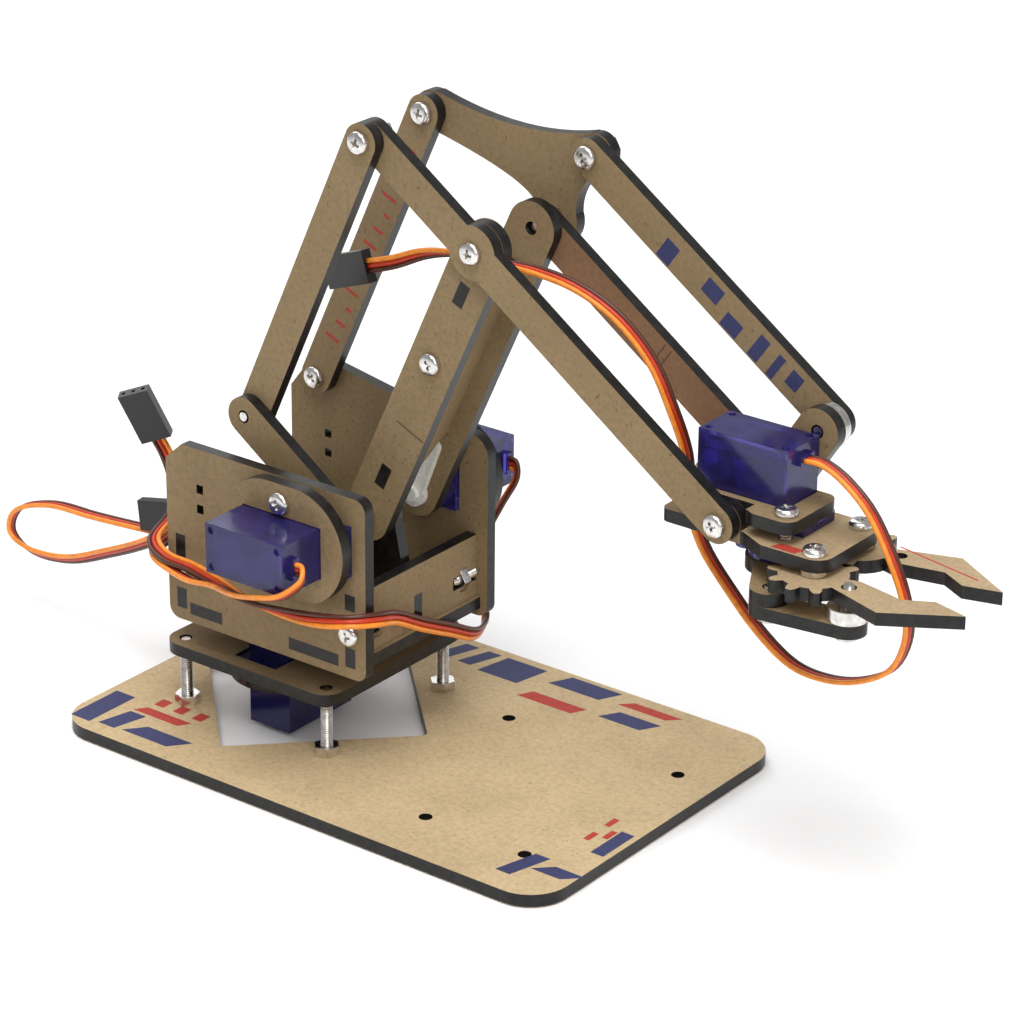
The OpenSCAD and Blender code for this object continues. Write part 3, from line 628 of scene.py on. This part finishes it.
def lathe(bm, profile, sides=32):
    """Surface of revolution about Z through (radius, height) pairs, closed at both ends."""
    rings = []
    for r, z in profile:
        rings.append([bm.verts.new((r * math.cos(2 * math.pi * k / sides),
                                    r * math.sin(2 * math.pi * k / sides), z))
                      for k in range(sides)])
    for low, high in zip(rings, rings[1:]):
        for k in range(sides):
            n = (k + 1) % sides
            bm.faces.new((low[k], low[n], high[n], high[k]))
    bm.faces.new(rings[0][::-1])
    bm.faces.new(rings[-1])


def pan_head():
    """Domed head with a cross recess, its underside at Z = 0, in millimetres."""
    r, h = HEAD_R / MM, HEAD_H / MM
    profile = [(r - 0.12, 0), (r, 0.12), (r, 0.75)]
    profile += [(r - 1.1 + 1.1 * math.cos(a), 0.75 + (h - 0.85) * math.sin(a))
                for a in [math.pi / 2 * k / 6 for k in range(1, 6)]]
    profile += [(1.2, h - 0.04), (0.5, h)]
    head = bpy.data.objects.new("head", mesh_from("head", lambda bm: lathe(bm, profile)))
    tool = bpy.data.objects.new("tool", cross_recess())
    tool.location.z = h
    for obj in (head, tool):
        bpy.context.scene.collection.objects.link(obj)
    cut = head.modifiers.new("cut", "BOOLEAN")
    cut.object = tool
    cut.solver = "EXACT"
    cut.use_self = True
    bpy.context.view_layer.update()
    result = bpy.data.meshes.new_from_object(
        head.evaluated_get(bpy.context.evaluated_depsgraph_get()))
    for obj in (head, tool):
        bpy.data.objects.remove(obj)
    return result


def thread_profile(radius, length):
    """Ridges at the pitch of the screw, ending in a small chamfer."""
    count = max(1, int((length - 0.6) / PITCH))
    profile = [(radius - 0.02, 0)]
    for k in range(count):
        z = 0.1 + k * PITCH
        profile += [(radius - 0.16, z), (radius, z + 0.22), (radius, z + 0.28)]
    return profile + [(radius - 0.16, 0.1 + count * PITCH), (radius - 0.4, length)]


def dress_fasteners(name, head_mesh):
    """Stands detailed screws and chamfered nuts in for one CAD node of fasteners.

    A screw gets a domed head with a cross recess, or a plain cone if its head is sunk in a plate.
    """
    bm = bmesh.new()
    for points in islands(name):
        found = screw_axis(points)
        part = bmesh.new()
        if found is None:
            bmesh.ops.convex_hull(part, input=[part.verts.new(p) for p in points])
            loose = [v for v in part.verts if not v.link_faces]
            bmesh.ops.delete(part, geom=loose, context="VERTS")
            bmesh.ops.dissolve_limit(part, angle_limit=0.02, verts=part.verts, edges=part.edges)
            bmesh.ops.bevel(part, geom=list(part.edges), offset=0.12 * MM, segments=2,
                            affect="EDGES", clamp_overlap=True)
        else:
            seat, direction, length, radius, head = found
            sunk = SUNK_H / MM if head < SUNK_H / 2 else 0
            if sunk:
                seat, length = seat - direction * head, length + head
            turn = Vector((0, 0, -1)).rotation_difference(direction).to_matrix().to_4x4()
            spin = Matrix.Rotation(random.uniform(0, math.pi), 4, "Z")
            if not sunk:
                part.from_mesh(head_mesh)
            scale = min(1, radius / HEAD_R)
            bmesh.ops.transform(part, matrix=Matrix.Diagonal((scale, scale, 1, 1)) @ spin,
                                verts=part.verts)
            shank = bmesh.new()
            profile = thread_profile(SHANK_R / MM * scale, length / MM - sunk)
            if sunk:
                profile = [(radius / MM, 0)] + [(r, z + sunk) for r, z in profile]
            lathe(shank, profile, 24)
            bmesh.ops.transform(shank, matrix=Matrix.Rotation(math.pi, 4, "X"), verts=shank.verts)
            made = bpy.data.meshes.new("shank")
            shank.to_mesh(made)
            shank.free()
            part.from_mesh(made)
            bpy.data.meshes.remove(made)
            place = Matrix.Translation(seat) @ turn @ Matrix.Diagonal((MM, MM, MM, 1))
            bmesh.ops.transform(part, matrix=place, verts=part.verts)
        made = bpy.data.meshes.new("part")
        part.to_mesh(made)
        part.free()
        bm.from_mesh(made)
        bpy.data.meshes.remove(made)
    bmesh.ops.recalc_face_normals(bm, faces=bm.faces)
    mesh = bpy.data.meshes.new(name + "_detailed")
    bm.to_mesh(mesh)
    bm.free()
    mesh.materials.append(STEEL)
    smooth(mesh, 32)
    obj = link_object(name + "_detailed", mesh, body_of(name))
    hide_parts(name)


# ---------- servos ----------

def dress_servos():
    for name in ("near_servo_case", "far_servo_case", "side_servo_lids",
                 "hand_servo_case", "hand_servo_lid"):
        paint(name, BLUE)
        bevel(frame["nodes"][name], 0.35 * MM, 3)
    # The base servo's case and lid carry painted shade: a darker copy of the servo blue.
    for name in ("base_servo_case", "base_servo_lid"):
        paint(name, BLUE_SHADED)
        bevel(frame["nodes"][name], 0.35 * MM, 3)
    for name in ("side_servo_insides", "hand_servo_inside", "base_servo_inside"):
        mesh = frame["nodes"][name].data
        mesh.materials.clear()
        mesh.materials.append(MOTOR)
        mesh.materials.append(BOARD)
        for index, face in inside_faces(mesh):
            mesh.polygons[face].material_index = index
        bevel(frame["nodes"][name], 0.1 * MM)
    for name in ("yaw_shaft", "yaw_horn", "shoulder_shaft", "shoulder_horn", "elbow_shaft",
                 "elbow_horn", "claw_drive"):
        paint(name, WHITE)
        bevel(frame["nodes"][name], 0.2 * MM)
    for name in ("near_lead_plug", "far_lead_plug", "hand_lead_plug"):
        paint(name, BLACK)
        bevel(frame["nodes"][name], 0.15 * MM)


def inside_faces(mesh):
    """(material index, face index): round faces are the motor's, flat ones the board's."""
    for poly in mesh.polygons:
        n = poly.normal
        straight = max(abs(n.x), abs(n.y), abs(n.z)) > 0.999
        yield (1 if straight and poly.area > 5e-6 else 0), poly.index


# ---------- stage ----------

def make_stage():
    mesh = mesh_from("floor", lambda bm: bmesh.ops.create_grid(bm, x_segments=1, y_segments=1, size=6))
    floor = bpy.data.objects.new("floor", mesh)
    floor.location.z = -0.0004
    bpy.context.scene.collection.objects.link(floor)
    mat, _, shader = base_material("floor_white", (0.93, 0.93, 0.93), 0.9)
    shader.inputs["Specular IOR Level"].default_value = 0.1
    floor.data.materials.append(mat)
    world = bpy.data.worlds.new("world")
    bpy.context.scene.world = world
    world.use_nodes = True
    world.node_tree.nodes["Background"].inputs["Color"].default_value = (1, 1, 1, 1)
    world.node_tree.nodes["Background"].inputs["Strength"].default_value = 0.42
    for name, place, power, size in (("key", (0.25, -0.35, 1.3), 15, 0.9),
                                     ("fill", (0.9, -0.7, 0.7), 4, 0.8),
                                     ("rim", (-0.7, 0.5, 0.9), 5, 0.8)):
        data = bpy.data.lights.new(name, "AREA")
        data.energy = power
        data.size = size
        light = bpy.data.objects.new(name, data)
        light.location = place
        aim = Vector((0.04, 0, 0.06)) - Vector(place)
        light.rotation_euler = aim.to_track_quat("-Z", "Y").to_euler()
        bpy.context.scene.collection.objects.link(light)
    bpy.context.scene.view_settings.view_transform = "Standard"


make_camera()
make_leads()
dress_plates()
base_marks()
link_marks()
fine_line_marks()
HEAD = pan_head()
for fasteners in ("standoff_bolts", "standoff_nuts", "frame_screws", "arm_screws", "crank_screw",
                  "y_screws", "forearm_screws", "hand_screws", "link_fasteners"):
    dress_fasteners(fasteners, HEAD)
dress_servos()
make_stage()
